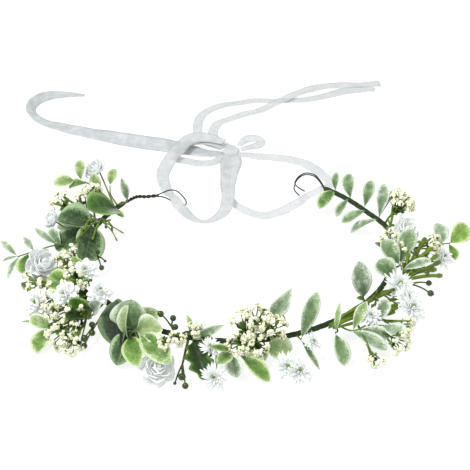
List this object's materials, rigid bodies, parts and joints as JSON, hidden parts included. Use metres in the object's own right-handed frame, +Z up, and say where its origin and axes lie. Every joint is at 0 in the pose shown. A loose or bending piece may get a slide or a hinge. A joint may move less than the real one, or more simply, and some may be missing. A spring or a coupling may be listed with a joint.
{
  "type": "flower crown",
  "caption": "Open ring of taped soft wire dressed with cloth leaves, white roses, rayed flowers, filler and berries, tied at the back with sheer ribbon; worn round the head.",
  "frame": {"origin": "centre of the wire ring, on the table that the crown lies on", "axes": "+X to the right as the crown is seen from its front; +Y from the front to the open back; +Z up"},
  "size_m": [0.3044, 0.3871, 0.042],
  "materials": {
    "green_wire": "dark green lacquered soft wire",
    "floral_tape": "waxed crepe floral tape, wound on in laps",
    "pale_leaf_cloth": "light green printed leaf cloth with a frosted rim",
    "silver_leaf_cloth": "grey-green flocked leaf cloth",
    "dark_leaf_cloth": "dark green coated leaf cloth, slightly glossy",
    "white_petal_cloth": "white petal cloth",
    "cream_filler": "cream moulded filler flowers on green stems",
    "berry_green": "green berries and buds on wired twigs",
    "organza_ribbon": "sheer white organza ribbon"
  },
  "bodies": {
    "front_arc": {"base_wire": "green_wire", "tape_front": "floral_tape", "eucalyptus_front_left": "pale_leaf_cloth", "dark_leaves_front": "dark_leaf_cloth", "grey_leaves_front": "silver_leaf_cloth", "standing_leaf_front": "silver_leaf_cloth", "round_leaf_front": "pale_leaf_cloth", "leaf_pair_front_right": "silver_leaf_cloth", "rose_front": "white_petal_cloth", "daisy_spray_front": "white_petal_cloth", "daisy_front_right": "white_petal_cloth", "daisy_small_front": "white_petal_cloth", "filler_front_left": "cream_filler", "filler_front": "cream_filler", "bud_twig_front_left": "berry_green", "berry_twig_front": "berry_green", "ribbon_eye_loop": "organza_ribbon", "ribbon_neck_loop": "organza_ribbon", "ribbon_bow_left": "organza_ribbon", "ribbon_bow_right": "organza_ribbon", "ribbon_tail_left": "organza_ribbon", "ribbon_tail_right_a": "organza_ribbon", "ribbon_tail_right_b": "organza_ribbon", "ribbon_knot": "organza_ribbon"},
    "left_arm": {"tape_left": "floral_tape", "leaf_sprig_left_end": "silver_leaf_cloth", "leaf_sprig_left_back": "pale_leaf_cloth", "glossy_leaf_left": "dark_leaf_cloth", "round_leaves_left": "dark_leaf_cloth", "leaf_sprig_left_low": "silver_leaf_cloth", "narrow_sprig_left": "silver_leaf_cloth", "green_leaves_left": "pale_leaf_cloth", "mixed_leaves_left": "dark_leaf_cloth", "light_sprig_left": "pale_leaf_cloth", "rose_left": "white_petal_cloth", "blossom_left_back": "white_petal_cloth", "blossom_left": "white_petal_cloth", "daisy_left_inner": "white_petal_cloth", "daisy_left_front": "white_petal_cloth", "daisy_spray_left": "white_petal_cloth", "daisy_left_outer": "white_petal_cloth", "filler_left_back": "cream_filler", "filler_left_inner": "cream_filler", "filler_left_outer": "cream_filler", "filler_left_front": "cream_filler", "bud_twig_left": "berry_green", "berry_twig_left": "berry_green"},
    "right_arm": {"tape_right": "floral_tape", "eucalyptus_right_front": "pale_leaf_cloth", "silver_leaf_right": "silver_leaf_cloth", "leaf_whorl_right": "silver_leaf_cloth", "leaf_sprig_right": "pale_leaf_cloth", "leaf_sprig_right_end": "silver_leaf_cloth", "rose_right": "white_petal_cloth", "daisy_spray_right": "white_petal_cloth", "daisy_right": "white_petal_cloth", "filler_right_front": "cream_filler", "filler_right_back": "cream_filler", "filler_right": "cream_filler", "bud_twig_right": "berry_green"}
  },
  "joints": [
    {"name": "left_arm_flex", "type": "hinge", "parent": "front_arc", "child": "left_arm", "pos_m": [-0.07277, -0.06107, 0.012], "axis": [0, 0, 1], "range_deg": [-5, 6], "deforming": ["base_wire", "ribbon_eye_loop"]},
    {"name": "right_arm_flex", "type": "hinge", "parent": "front_arc", "child": "right_arm", "pos_m": [0.04676, -0.08099, 0.012], "axis": [0, 0, -1], "range_deg": [-5, 6], "deforming": ["base_wire", "ribbon_neck_loop"]}
  ]
}
